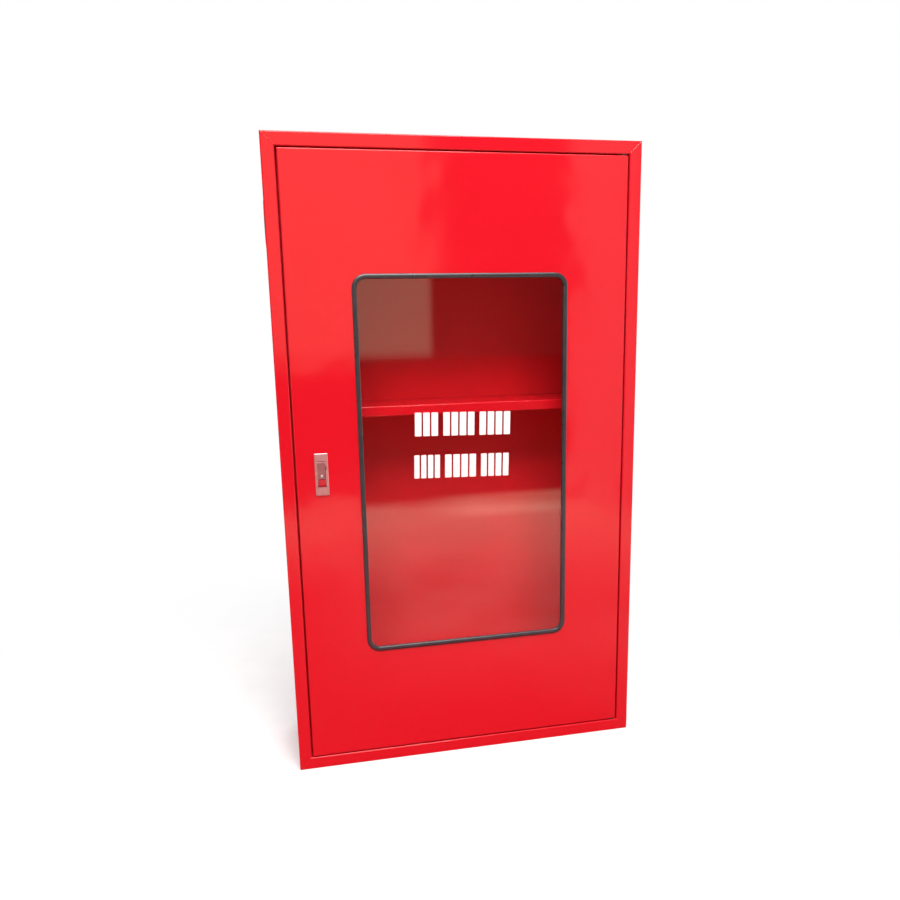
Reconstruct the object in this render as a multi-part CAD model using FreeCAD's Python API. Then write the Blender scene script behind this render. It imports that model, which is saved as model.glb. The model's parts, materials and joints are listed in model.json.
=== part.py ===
"""A wall cabinet for a fire standpipe: a folded steel box with a glazed door, a shelf and a paddle latch.

Millimetres, +Z up, +X to the right of someone facing the door, the door on the -Y side.
The origin is the middle of the foot of the whole object's box.
"""

import FreeCAD, Part
import math
import os

V = FreeCAD.Vector

# ---------------------------------------------------------------- driving dimensions
WIDTH = 700.0
HEIGHT = 1200.0
DEPTH = 200.0
PROUD = 3.0                 # the gasket's crown stands this far in front of the cabinet's face
SHEET = 1.2
BEND = 1.0                  # inner bend radius of the folded sheet

# the box
FLANGE = 24.0               # width of the face flange all round the door
REVEAL = 22.0               # depth of the flange's return beside the door
STOP = 14.0                 # how far the stop reaches in behind the door
REAR_FLANGE = 15.0
BACK_MARGIN = 1.0           # the back panel's edge inside the outer faces
WALL_HOLE_R = 5.0
WALL_SPAN_X = 500.0
WALL_SPAN_Z = 1000.0
PIPE_R = 31.0
PIPE_HOLE_R = 38.0
PIPE_Z = 1060.0
PIPE_SETBACK = 110.0        # the pipe's axis behind the cabinet's face
GROMMET_LIP = 2.0           # thickness of the grommet's two lips
GROMMET_REACH = 5.0         # and how far they reach past the hole

# the shelf
SHELF_Z = 717.0
SHELF_SETBACK = 60.0
SHELF_LIP = 20.0
SHELF_RETURN = 10.0         # the lip's fold back underneath
SHELF_CLEAR = 0.5
BEARER_LEG = 20.0
BEARER_FRONT = 14.0         # from the shelf's front and rear edges to the bearer's ends
BEARER_REAR = 16.0
SHELF_SCREW_R = 2.0
SHELF_SCREW_INSET = 20.0

# the door and its pivots
SIDE_GAP = 3.0
END_GAP = 2.5
DOOR_DEPTH = 16.0
DOOR_HEM = 12.0
DOOR_EDGE_R = 2.2
STIFFENER_OUT = 31.0        # the rail's middle outside the window cut-out's side
STIFFENER_FOOT = 9.0
STIFFENER_CROWN = 8.0
STIFFENER_HEIGHT = 11.0
PIVOT_INSET = 8.0           # the pivot's distance from the door's edge and from its face
PIN_R = 4.0
PIN_FIT = 0.05
PIN_REACH = 12.0
PIN_TIP = 0.8
PLATE = 3.0
PLATE_IN = 30.0             # a pivot plate's ends, from the pivot towards the door's middle and away from it
PLATE_OUT = 11.0
PLATE_CLEAR = 0.2
WASHER_R = 7.0
WASHER_PLAY = 0.1
BUMPER_R = 5.0
BUMPER_THICK = 4.5
BUMPER_INSET = 8.5
BUMPER_HEIGHTS = (150.0, 750.0, 1050.0)

# the window
WINDOW_W = 402.0
WINDOW_H = 717.0
WINDOW_R = 22.0
WINDOW_Z = 600.0
GASKET_OUT = 4.0            # the gasket's lip over the sheet
GASKET_IN = 5.0             # and from the cut-out's edge over the glass
GASKET_WEB = 1.2
GASKET_BEHIND = 3.5         # how far the gasket stands behind the glass
GLASS = 4.0
VINYL = 0.2
MARK_H = 45.0
MARK_R = 1.6
MARK_GAP = 3.2
MARK_WORD_GAP = 10.0
MARK_TILT = 1.4             # degrees
# each row of marks: its left end, its middle height, and each group's count of blocks and width
MARK_ROWS = [
    (-97.2, 685.7, [(3, 44.8), (4, 61.2), (4, 61.2)]),
    (-100.6, 604.3, [(4, 50.0), (4, 61.3), (4, 55.6)]),
]

# the latch, in its own coordinates: u runs along X and w along Z from its middle, v runs back from the face
LATCH_X = -276.0
LATCH_Z = 600.0
LATCH_W = 25.0
LATCH_H = 80.0
LATCH_PROUD = 2.6
LATCH_BEVEL = 0.9
LATCH_BODY_W = 20.0
LATCH_BODY_H = 72.0
LATCH_REAR = 22.0
LATCH_WALL = 2.0
LATCH_CLEAR = 0.3           # round the body in the door's cut-out, and round the bolt
CAVITY_W = 14.8
CAVITY_TOP = 25.4
NOTCH = (8.0, 9.0, 15.0, 16.0)      # heights of the finger notch's corners
NOTCH_DEPTH = 1.6
NOTCH_BACK = 10.0
LEVER_ANGLE = 30.0
LEVER_W = 14.0
LEVER_TOP = 24.4
LEVER_BOTTOM = -8.6
LEVER_THICK = 4.8
LEVER_FRONT = -2.2
LEVER_SLOPE = 1.4           # the slope across the top of the lever's face
LEVER_PIN_W = 20.6
LEVER_PIN_V = 0.2
LEVER_PIN_R = 1.25
LEVER_PIN_LENGTH = 19.2
ARM_REACH = 26.8
ARM_HALF = 2.0
ARM_CLEAR = 0.6
RIVET_W = -3.3
RIVET_R = 1.5
RIVET_HEAD_R = 2.6
RIVET_HEAD = 0.7
BUTTON_TOP = -9.4
BUTTON_BOTTOM = -23.0
BUTTON_HALF_TOP = 6.2
BUTTON_HALF_BOTTOM = 8.0
BUTTON_CLEAR = 0.5
BUTTON_BACK = 8.0
BUTTON_RIDGE = -18.4        # where the button's upper slope reaches its front
BOLT_TRAVEL = 9.0
BOLT_V = 22.4
BOLT_THICK = 4.0
BOLT_LOW = -2.0
BOLT_HIGH = 28.0
BOLT_TAIL = 12.0
BOLT_CLEAR = 0.7
NOSE_TIP = -43.0
NOSE_LOW = 4.0
NOSE_HIGH = 22.0
COVER_V = 27.4
COVER_LOW = -10.0
COVER_END = 27.0
CLAMP_STEP = 7.2
CLAMP_FOOT = 9.0
CLAMP_W = 12.0
SCREW_R = 1.5
SCREW_TOP = 32.0
SCREW_MIDDLE = -6.2
SCREW_BOTTOM = -31.0
# each latch screw: the depth of the metal that it holds, its height, and the metal's layers under its head
SCREW_PLACES = [
    (COVER_V, SCREW_TOP, 2),
    (COVER_V, SCREW_MIDDLE, 1),
    (LATCH_REAR, SCREW_BOTTOM, 1),
]

# ---------------------------------------------------------------- places that follow from them
FACE_Y = -(DEPTH + PROUD) / 2 + PROUD
BACK_Y = FACE_Y + DEPTH
DOOR_L = -WIDTH / 2 + FLANGE + SIDE_GAP
DOOR_R = -DOOR_L
DOOR_BOTTOM = FLANGE + END_GAP
DOOR_TOP = HEIGHT - DOOR_BOTTOM
DOOR_W = DOOR_R - DOOR_L
DOOR_H = DOOR_TOP - DOOR_BOTTOM
PIVOT_X = DOOR_R - PIVOT_INSET
PIVOT_Y = FACE_Y + PIVOT_INSET
STOP_Y = FACE_Y + REVEAL - SHEET    # the stop's front face
TINY = 0.1

X_AXIS = V(1, 0, 0)
Y_AXIS = V(0, 1, 0)
Z_AXIS = V(0, 0, 1)


# ---------------------------------------------------------------- helpers
def box(x0, x1, y0, y1, z0, z1):
    return Part.makeBox(x1 - x0, y1 - y0, z1 - z0, V(x0, y0, z0))


def rod(x, y, z, radius, length, axis):
    return Part.makeCylinder(radius, length, V(x, y, z), axis)


def prism(points, axis_vector):
    """A straight prism on a closed outline of 3-D points."""
    wire = Part.makePolygon(points + points[:1])
    return Part.Face(wire).extrude(axis_vector)


def join(shapes):
    solid = shapes[0].multiFuse(shapes[1:]) if len(shapes) > 1 else shapes[0]
    return solid.removeSplitter()


def group(solids):
    return Part.makeCompound(solids)


def save(node, shape):
    shape.exportStep(f"parts/{node}.step")


def corner_arc(before, corner, after, radius):
    """The start, middle and end of the arc that rounds a corner, and the arc's centre."""
    a = (before - corner).normalize()
    b = (after - corner).normalize()
    half = a.getAngle(b) / 2
    reach = radius / math.tan(half)
    bisector = (a + b).normalize()
    centre = corner + bisector * (radius / math.sin(half))
    start = corner + a * reach
    end = corner + b * reach
    middle = centre - bisector * radius
    return start, middle, end, centre


def folded_sheet(points, sweep, thickness=SHEET, inner=BEND):
    """A folded sheet: its mid-line through the points, each bend rounded, extruded along sweep."""
    half = thickness / 2
    normal = V(sweep).normalize()

    def side(direction, sign):
        return normal.cross(direction).normalize() * (half * sign)

    edges = []
    ends = []
    for sign in (1, -1):
        here = points[0] + side(points[1] - points[0], sign)
        ends.append([here])
        for before, corner, after in zip(points, points[1:], points[2:]):
            start, middle, end, centre = corner_arc(before, corner, after, inner + half)
            turned_to = normal.cross(corner - before).dot(centre - corner) > 0
            grow = -half if turned_to == (sign > 0) else half
            radius = inner + half
            arc = [centre + (p - centre) * ((radius + grow) / radius) for p in (start, middle, end)]
            edges.append(Part.LineSegment(here, arc[0]).toShape())
            edges.append(Part.Arc(*arc).toShape())
            here = arc[2]
        last = points[-1] + side(points[-1] - points[-2], sign)
        edges.append(Part.LineSegment(here, last).toShape())
        ends[-1].append(last)
    edges.append(Part.LineSegment(ends[0][0], ends[1][0]).toShape())
    edges.append(Part.LineSegment(ends[0][1], ends[1][1]).toShape())
    return Part.Face(Part.Wire(Part.__sortEdges__(edges))).extrude(sweep)


def rounded_outline(width, height, radius, y, x=0.0, z=0.0):
    """A wire in the XZ plane: a rectangle with rounded corners, centred on x, z."""
    w = width / 2 - radius
    h = height / 2 - radius
    lean = radius / math.sqrt(2)
    edges = []
    corners = [(w, h, 1, 1), (-w, h, -1, 1), (-w, -h, -1, -1), (w, -h, 1, -1)]
    for i, (cx, cz, sx, sz) in enumerate(corners):
        side = V(x + cx + sx * radius, y, z + cz)
        middle = V(x + cx + sx * lean, y, z + cz + sz * lean)
        end = V(x + cx, y, z + cz + sz * radius)
        first, last = (side, end) if i % 2 == 0 else (end, side)
        edges.append(Part.Arc(first, middle, last).toShape())
    joined = []
    for i, edge in enumerate(edges):
        following = edges[(i + 1) % len(edges)]
        joined.append(edge)
        joined.append(Part.LineSegment(edge.valueAt(edge.LastParameter),
                                       following.valueAt(following.FirstParameter)).toShape())
    return Part.Wire(Part.__sortEdges__(joined))


def rounded_plate(width, height, radius, y0, y1, x=0.0, z=0.0):
    return Part.Face(rounded_outline(width, height, radius, y0, x, z)).extrude(V(0, y1 - y0, 0))


def soften(shape, radius, wanted):
    """Round the edges whose middle point passes the test."""
    edges = [e for e in shape.Edges if wanted(e.CenterOfMass, e)]
    return shape.makeFillet(radius, edges)


def spring(radius, wire, pitch, turns, start, axis):
    """A closed-form coil spring that starts at a point and runs along an axis."""
    helix = Part.makeHelix(pitch, pitch * turns, radius)
    section = Part.Wire(Part.makeCircle(wire / 2, V(radius, 0, 0), Y_AXIS))
    coil = Part.Wire(helix).makePipeShell([section], True, True)
    coil.Placement = FreeCAD.Placement(start, FreeCAD.Rotation(Z_AXIS, axis))
    return coil


# ---------------------------------------------------------------- the box
def frame_panel(length):
    """One wall lying along X with its outer face at Z = 0: web, face flange, reveal, stop, rear flange."""
    half = SHEET / 2
    x = -length / 2
    profile = [
        V(x, FACE_Y + REVEAL - half, FLANGE + STOP),
        V(x, FACE_Y + REVEAL - half, FLANGE - half),
        V(x, FACE_Y + half, FLANGE - half),
        V(x, FACE_Y + half, half),
        V(x, BACK_Y - SHEET - half, half),
        V(x, BACK_Y - SHEET - half, REAR_FLANGE),
    ]
    panel = folded_sheet(profile, V(length, 0, 0))
    reach = FLANGE + STOP + 1       # past the stop's edge
    for end in (-1, 1):
        tip = end * length / 2
        corner = [V(tip, FACE_Y - 1, 0), V(tip - end * reach, FACE_Y - 1, reach),
                  V(tip, FACE_Y - 1, reach)]
        panel = panel.cut(prism(corner, V(0, DEPTH + 2, 0)))
    return panel


def turned(panel, degrees, to):
    moved = panel.copy()
    moved.rotate(V(0, 0, 0), Y_AXIS, degrees)
    moved.translate(to)
    return moved


def pipe_axis_point(side):
    return side * WIDTH / 2, FACE_Y + PIPE_SETBACK, PIPE_Z


def with_pipe_hole(panel, side):
    x, y, z = pipe_axis_point(side)
    return panel.cut(rod(x - 5, y, z, PIPE_HOLE_R, 10, X_AXIS))


def pivot_hole(z0, z1, radius):
    return rod(PIVOT_X, PIVOT_Y, z0, radius, z1 - z0, Z_AXIS)


def build_walls():
    through = 2 * SHEET
    bottom = frame_panel(WIDTH).cut(pivot_hole(FLANGE - through, FLANGE + 1, PIN_R))
    top = turned(frame_panel(WIDTH), 180, V(0, 0, HEIGHT))
    top = top.cut(pivot_hole(HEIGHT - FLANGE - 1, HEIGHT - FLANGE + through, PIN_R))
    left = turned(frame_panel(HEIGHT), 90, V(-WIDTH / 2, 0, HEIGHT / 2))
    right = turned(frame_panel(HEIGHT), -90, V(WIDTH / 2, 0, HEIGHT / 2))
    save("bottom_panel", bottom)
    save("top_panel", top)
    save("left_side_panel", with_pipe_hole(left, -1))
    save("right_side_panel", with_pipe_hole(right, 1))


def build_back():
    corner_r = 3.0
    back = rounded_plate(WIDTH - 2 * BACK_MARGIN, HEIGHT - 2 * BACK_MARGIN, corner_r,
                         BACK_Y - SHEET, BACK_Y, 0, HEIGHT / 2)
    for sx in (-1, 1):
        for sz in (-1, 1):
            x = sx * WALL_SPAN_X / 2
            z = HEIGHT / 2 + sz * WALL_SPAN_Z / 2
            back = back.cut(rod(x, BACK_Y - 5, z, WALL_HOLE_R, 10, Y_AXIS))
    save("back_panel", back)


def build_grommets():
    lip = GROMMET_LIP
    lip_r = PIPE_HOLE_R + GROMMET_REACH
    edge_r = 0.45 * lip
    rings = []
    for side in (-1, 1):
        x, y, z = pipe_axis_point(side)
        outer = x + side * lip
        profile = [
            (PIPE_R, lip), (PIPE_R, -SHEET - lip), (lip_r, -SHEET - lip), (lip_r, -SHEET),
            (PIPE_HOLE_R, -SHEET), (PIPE_HOLE_R, 0), (lip_r, 0), (lip_r, lip),
        ]
        points = [V(x + side * along, y + radius, z) for radius, along in profile]
        face = Part.Face(Part.makePolygon(points + points[:1]))
        ring = face.revolve(V(x, y, z), X_AXIS, 360)
        ring = soften(ring, edge_r, lambda p, e: abs(p.x - outer) < TINY)
        rings.append(ring)
    save("pipe_grommets", group(rings))


# ---------------------------------------------------------------- the shelf
def build_shelf():
    """A tray folded down at its front and rear, on two angle bearers that it is screwed to."""
    half = SHEET / 2
    x = -WIDTH / 2 + SHEET + SHELF_CLEAR
    front = FACE_Y + SHELF_SETBACK
    rear = BACK_Y - 2 * SHEET - SHELF_CLEAR
    top = SHELF_Z - half
    low = SHELF_Z - SHELF_LIP + half
    profile = [
        V(x, front + SHELF_RETURN, low),
        V(x, front + half, low),
        V(x, front + half, top),
        V(x, rear - half, top),
        V(x, rear - half, low + 3 * SHEET),
    ]
    shelf = folded_sheet(profile, V(-2 * x, 0, 0))
    under = SHELF_Z - SHEET
    y0 = front + BEARER_FRONT
    y1 = rear - BEARER_REAR
    wall = WIDTH / 2 - SHEET
    length = 4 * SHELF_SCREW_R
    screws = []
    for side, name in ((-1, "left"), (1, "right")):
        line = [
            V(side * (wall - half), y0, under - BEARER_LEG),
            V(side * (wall - half), y0, under - half),
            V(side * (wall - BEARER_LEG), y0, under - half),
        ]
        bearer = folded_sheet(line, V(0, y1 - y0, 0))
        for y in (y0 + SHELF_SCREW_INSET, y1 - SHELF_SCREW_INSET):
            at = side * (wall - 0.6 * BEARER_LEG)
            hole = rod(at, y, SHELF_Z - length, SHELF_SCREW_R, length + 1, Z_AXIS)
            shelf = shelf.cut(hole)
            bearer = bearer.cut(hole)
            screws.append(pan_screw(at, y, SHELF_Z, SHELF_SCREW_R, length))
        save(f"shelf_bearer_{name}", bearer)
    save("shelf", shelf)
    save("shelf_screws", group(screws))


def pan_screw(x, y, z, radius, length):
    """A cross-slotted pan-head screw standing head up, its head's underside at z."""
    head_h = 1.2 * radius
    floor = z + 0.4 * head_h
    half_slot = 0.4
    head = rod(x, y, z, 2 * radius, head_h, Z_AXIS)
    head = soften(head, 0.55 * head_h, lambda p, e: p.z > z + head_h - TINY)
    screw = join([head, rod(x, y, z - length, radius, length, Z_AXIS)])
    for half_x, half_y in ((radius, half_slot), (half_slot, radius)):
        screw = screw.cut(box(x - half_x, x + half_x, y - half_y, y + half_y, floor, z + 2 * head_h))
    return screw


# ---------------------------------------------------------------- door pivots
def build_pivots():
    """Two pins fixed in the frame's plates, which the door's plates turn on, and a washer under each end."""
    low = FLANGE
    high = HEIGHT - FLANGE
    x0 = PIVOT_X - PLATE_IN
    y0 = FACE_Y + SHEET + BEND + PLATE_CLEAR
    y1 = STOP_Y - BEND
    frame_plates = [box(x0, PIVOT_X + PLATE_OUT, y0, y1, z, z + PLATE)
                    for z in (low - SHEET - PLATE, high + SHEET)]
    hole = pivot_hole(0, HEIGHT, PIN_R)
    save("frame_pivot_plates", group([plate.cut(hole) for plate in frame_plates]))

    inner = SHEET + PLATE_CLEAR
    door_plates = [box(x0, DOOR_R - inner, FACE_Y + inner, FACE_Y + DOOR_DEPTH - inner, z, z + PLATE)
                   for z in (DOOR_BOTTOM + SHEET, DOOR_TOP - SHEET - PLATE)]
    hole = pivot_hole(0, HEIGHT, PIN_R + PIN_FIT)
    save("door_pivot_plates", group([plate.cut(hole) for plate in door_plates]))

    lower = pivot_hole(low - SHEET - PLATE, low + PIN_REACH, PIN_R)
    tip = [e for e in lower.Edges if e.CenterOfMass.z > low + PIN_REACH - TINY]
    save("lower_pivot_pin", lower.makeChamfer(PIN_TIP, tip))
    upper = pivot_hole(high - PIN_REACH, high + SHEET + PLATE, PIN_R)
    tip = [e for e in upper.Edges if e.CenterOfMass.z < high - PIN_REACH + TINY]
    save("upper_pivot_pin", upper.makeChamfer(PIN_TIP, tip))

    washers = []
    for z0, z1 in ((low, DOOR_BOTTOM - WASHER_PLAY), (DOOR_TOP + WASHER_PLAY, high)):
        washers.append(pivot_hole(z0, z1, WASHER_R).cut(pivot_hole(z0, z1, PIN_R)))
    save("pivot_washers", group(washers))


def build_bumpers():
    """Rubber buttons on the latch side's stop, which the door closes against."""
    x = -WIDTH / 2 + FLANGE + BUMPER_INSET
    front = STOP_Y - BUMPER_THICK
    bumpers = []
    for z in BUMPER_HEIGHTS:
        pad = rod(x, front, z, BUMPER_R, BUMPER_THICK, Y_AXIS)
        bumpers.append(soften(pad, 0.3 * BUMPER_R, lambda p, e: p.y < front + TINY))
    save("door_bumpers", group(bumpers))


# ---------------------------------------------------------------- the door
def build_door_skin():
    """A pan: face, four returns and a hem round its open back, with the window, latch and pin cut-outs."""
    back = FACE_Y + DOOR_DEPTH
    outer = box(DOOR_L, DOOR_R, FACE_Y, back, DOOR_BOTTOM, DOOR_TOP)
    outer = soften(outer, DOOR_EDGE_R, lambda p, e: abs(p.y - FACE_Y) < TINY or e.Length < DOOR_DEPTH + TINY)
    hollow = box(DOOR_L + SHEET, DOOR_R - SHEET, FACE_Y + SHEET, back - SHEET,
                 DOOR_BOTTOM + SHEET, DOOR_TOP - SHEET)
    mouth = box(DOOR_L + DOOR_HEM, DOOR_R - DOOR_HEM, back - 2 * SHEET, back + SHEET,
                DOOR_BOTTOM + DOOR_HEM, DOOR_TOP - DOOR_HEM)
    front = FACE_Y - SHEET
    behind = FACE_Y + 2 * SHEET
    window = rounded_plate(WINDOW_W, WINDOW_H, WINDOW_R, front, behind, 0, WINDOW_Z)
    latch = rounded_plate(LATCH_BODY_W + 2 * LATCH_CLEAR, LATCH_BODY_H + 2 * LATCH_CLEAR, 1.0,
                          front, behind, LATCH_X, LATCH_Z)
    skin = outer.cut(hollow).cut(mouth).cut(window).cut(latch)
    for z in (DOOR_BOTTOM, DOOR_TOP):
        skin = skin.cut(pivot_hole(z - 2 * SHEET, z + 2 * SHEET, PIN_R + PIN_FIT))
    for sx in (-1, 1):
        for z, sz in ((DOOR_BOTTOM, -1), (DOOR_TOP, 1)):
            skin = skin.cut(hem_slit(sx * DOOR_R, sx, z, sz, back))
    save("door_skin", skin)


def hem_slit(x, sx, z, sz, back):
    """The narrow mitre between two hems, from the pan's corner at x, z to the mouth."""
    narrow = 0.6
    reach = DOOR_HEM + 1
    y = back - SHEET - TINY
    outline = [V(x, y, z), V(x - sx * narrow, y, z),
               V(x - sx * reach, y, z - sz * (reach - narrow)), V(x - sx * reach, y, z - sz * reach)]
    return prism(outline, V(0, 2 * SHEET, 0))


def build_stiffeners():
    """A top-hat rail down the inside of the door on each side of its window."""
    crown = STIFFENER_CROWN
    foot = crown + STIFFENER_FOOT
    y = FACE_Y + SHEET * 1.5
    top = y + STIFFENER_HEIGHT
    z = DOOR_BOTTOM + 2 * DOOR_HEM
    for side, name in ((-1, "left"), (1, "right")):
        x = side * (WINDOW_W / 2 + STIFFENER_OUT)
        line = [V(x - foot, y, z), V(x - crown, y, z), V(x - crown, top, z),
                V(x + crown, top, z), V(x + crown, y, z), V(x + foot, y, z)]
        save(f"door_stiffener_{name}", folded_sheet(line, V(0, 0, DOOR_H - 4 * DOOR_HEM)))


def build_window():
    """A rubber channel that holds the glass in the cut-out, the glass, and blank vinyl marks on it."""
    lip = PROUD
    u_out = GASKET_OUT
    u_in = -GASKET_IN
    crown = (u_out + u_in) / 2
    behind = GLASS + GASKET_BEHIND
    x = WINDOW_W / 2

    def at(u, v):
        return V(x + u, FACE_Y + v, WINDOW_Z)

    outline = [
        Part.Arc(at(u_out, 0), at(crown, -lip), at(u_in, 0)),
        Part.LineSegment(at(u_in, 0), at(-GASKET_WEB, 0)),
        Part.LineSegment(at(-GASKET_WEB, 0), at(-GASKET_WEB, GLASS)),
        Part.LineSegment(at(-GASKET_WEB, GLASS), at(u_in, GLASS)),
        Part.Arc(at(u_in, GLASS), at(crown, behind), at(u_out, SHEET + 1)),
        Part.LineSegment(at(u_out, SHEET + 1), at(u_out, SHEET)),
        Part.LineSegment(at(u_out, SHEET), at(0, SHEET)),
        Part.LineSegment(at(0, SHEET), at(0, 0)),
        Part.LineSegment(at(0, 0), at(u_out, 0)),
    ]
    section = Part.Wire([piece.toShape() for piece in outline])
    path = rounded_outline(WINDOW_W, WINDOW_H, WINDOW_R, FACE_Y, 0, WINDOW_Z)
    gasket = path.makePipeShell([section], True, True)
    save("window_gasket", gasket)

    inset = 2 * GASKET_WEB
    glass = rounded_plate(WINDOW_W - inset, WINDOW_H - inset, WINDOW_R - GASKET_WEB,
                          FACE_Y, FACE_Y + GLASS, 0, WINDOW_Z)
    save("window_glass", glass)
    build_marking()


def build_marking():
    """Two slightly tilted rows of plain rounded blocks, three groups in each row."""
    marks = []
    for left, middle_z, words in MARK_ROWS:
        x = left
        for count, width in words:
            block = (width - MARK_GAP * (count - 1)) / count
            for i in range(count):
                centre = x + block / 2 + i * (block + MARK_GAP)
                mark = rounded_plate(block, MARK_H, MARK_R, FACE_Y - VINYL, FACE_Y, centre, middle_z)
                mark.rotate(V(left, FACE_Y, middle_z), Y_AXIS, MARK_TILT)
                marks.append(mark)
            x += width + MARK_WORD_GAP
    save("window_marking", group(marks))


# ---------------------------------------------------------------- the latch
def latch_point(u, v, w):
    return V(LATCH_X + u, FACE_Y + v, LATCH_Z + w)


def latch_box(u0, u1, v0, v1, w0, w1):
    return box(LATCH_X + u0, LATCH_X + u1, FACE_Y + v0, FACE_Y + v1, LATCH_Z + w0, LATCH_Z + w1)


def latch_prism(points, v0, v1):
    """A prism through the latch from front to back on a list of (u, w)."""
    return prism([latch_point(u, v0, w) for u, w in points], V(0, v1 - v0, 0))


def latch_rod(u, v, w, radius, length, axis):
    start = latch_point(u, v, w)
    return rod(start.x, start.y, start.z, radius, length, axis)


def button_outline(clear):
    top = BUTTON_TOP + clear
    low = BUTTON_BOTTOM - clear
    half_top = BUTTON_HALF_TOP + clear
    half_low = BUTTON_HALF_BOTTOM + clear
    return [(-half_top, top), (half_top, top), (half_low, low), (-half_low, low)]


def arm_slot(v0, v1):
    """The window that the lever's arm swings through in a fixed wall between two depths."""
    swing = math.radians(LEVER_ANGLE)
    low = LEVER_PIN_W - math.tan(swing) * (v1 - LEVER_PIN_V) - ARM_HALF / math.cos(swing)
    high = LEVER_PIN_W + ARM_HALF
    half = ARM_HALF + ARM_CLEAR
    return latch_box(-half, half, v0 - TINY, v1 + TINY, low - ARM_CLEAR, high + ARM_CLEAR)


def lever_pin(radius):
    return latch_rod(-LEVER_PIN_LENGTH / 2, LEVER_PIN_V, LEVER_PIN_W, radius, LEVER_PIN_LENGTH, X_AXIS)


def build_latch_housing():
    """A die-cast cup: bevelled face plate, body, and two rails behind it that guide the bolt."""
    half_body = LATCH_BODY_W / 2
    front = -LATCH_PROUD - 1
    floor = LATCH_REAR - LATCH_WALL
    plate = rounded_plate(LATCH_W, LATCH_H, 1.5, FACE_Y - LATCH_PROUD, FACE_Y, LATCH_X, LATCH_Z)
    rim = [e for e in plate.Edges if abs(e.CenterOfMass.y - FACE_Y + LATCH_PROUD) < TINY]
    plate = plate.makeChamfer(LATCH_BEVEL, rim)
    body = rounded_plate(LATCH_BODY_W, LATCH_BODY_H, 1.0, FACE_Y, FACE_Y + LATCH_REAR, LATCH_X, LATCH_Z)
    upper_rail = latch_box(-half_body, half_body, LATCH_REAR, COVER_V,
                           BOLT_HIGH + LATCH_CLEAR, LATCH_BODY_H / 2)
    lower_rail = latch_box(-half_body, half_body, LATCH_REAR, COVER_V,
                           COVER_LOW, BOLT_LOW - LATCH_CLEAR)
    housing = join([plate, body, upper_rail, lower_rail])
    cavity = latch_box(-CAVITY_W / 2, CAVITY_W / 2, front, floor, BUTTON_TOP, CAVITY_TOP)
    well = latch_prism(button_outline(BUTTON_CLEAR), front, floor)
    side = CAVITY_W / 2
    notch = latch_prism([(side - 0.5, NOTCH[0]), (side + NOTCH_DEPTH, NOTCH[1]),
                         (side + NOTCH_DEPTH, NOTCH[2]), (side - 0.5, NOTCH[3])], front, NOTCH_BACK)
    housing = housing.cut(cavity).cut(well).cut(notch)
    housing = housing.cut(arm_slot(floor, LATCH_REAR)).cut(lever_pin(LEVER_PIN_R))
    for v, w, layers in SCREW_PLACES:
        housing = housing.cut(latch_rod(0, v - 7, w, SCREW_R, 8, Y_AXIS))
    save("latch_housing", housing)
    save("latch_lever_pin", lever_pin(LEVER_PIN_R))


def build_lever():
    """The paddle, with an arm behind it that drives the bolt, and the rivet in its face."""
    back = LEVER_FRONT + LEVER_THICK
    plate = latch_box(-LEVER_W / 2, LEVER_W / 2, LEVER_FRONT, back, LEVER_BOTTOM, LEVER_TOP)
    front = FACE_Y + LEVER_FRONT
    top = LATCH_Z + LEVER_TOP
    upper = [e for e in plate.Edges
             if abs(e.CenterOfMass.y - front) < TINY and abs(e.CenterOfMass.z - top) < TINY]
    plate = plate.makeChamfer(LEVER_SLOPE, upper)
    plate = soften(plate, 0.5, lambda p, e: abs(p.y - front) < TINY and p.z < top - LEVER_SLOPE - TINY)
    arm = latch_box(-ARM_HALF, ARM_HALF, back - 1, LEVER_PIN_V + ARM_REACH,
                    LEVER_PIN_W - ARM_HALF, LEVER_PIN_W + ARM_HALF)
    arm_end = FACE_Y + LEVER_PIN_V + ARM_REACH
    arm = soften(arm, 0.6 * ARM_HALF, lambda p, e: p.y > arm_end - TINY and p.x == LATCH_X)
    catch = latch_box(-5, 5, back - 0.5, back + 1.2, LEVER_BOTTOM + 0.5, LEVER_BOTTOM + 3)
    lever = join([plate, arm, catch]).cut(lever_pin(LEVER_PIN_R + PIN_FIT))
    lever = lever.cut(latch_rod(0, LEVER_FRONT - 1, RIVET_W, RIVET_R, LEVER_THICK + 2, Y_AXIS))
    save("latch_lever", lever)
    shank = latch_rod(0, LEVER_FRONT, RIVET_W, RIVET_R, LEVER_THICK, Y_AXIS)
    head = latch_rod(0, LEVER_FRONT - RIVET_HEAD, RIVET_W, RIVET_HEAD_R, RIVET_HEAD, Y_AXIS)
    head = soften(head, 0.8 * RIVET_HEAD, lambda p, e: p.y < front - RIVET_HEAD + TINY)
    save("lever_rivet", join([head, shank]))


def build_button():
    """The push button: a trapezoid with a long slope above its ridge and a short one below."""
    front = -PROUD
    wide = LATCH_W / 2
    body = latch_prism(button_outline(0), front, BUTTON_BACK)
    slope = [latch_point(-wide, front - 1, BUTTON_TOP + 1), latch_point(-wide, -0.9, BUTTON_TOP + 1),
             latch_point(-wide, front, BUTTON_RIDGE), latch_point(-wide, front - 1, BUTTON_RIDGE)]
    foot_w = BUTTON_RIDGE - 2.6
    foot = [latch_point(-wide, front - 1, foot_w), latch_point(-wide, front, foot_w),
            latch_point(-wide, front + 1.1, BUTTON_BOTTOM - 1),
            latch_point(-wide, front - 1, BUTTON_BOTTOM - 1)]
    for cutter in (slope, foot):
        body = body.cut(prism(cutter, V(2 * wide, 0, 0)))
    tongue = latch_box(-4, 4, 4.6, BUTTON_BACK, BUTTON_TOP - 1, BUTTON_TOP + 4)
    save("latch_button", join([body, tongue]))
    middle = (BUTTON_TOP + BUTTON_BOTTOM) / 2
    save("button_spring", spring(2.4, 0.7, 2.2, 5, latch_point(0, BUTTON_BACK + 0.4, middle), Y_AXIS))


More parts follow.
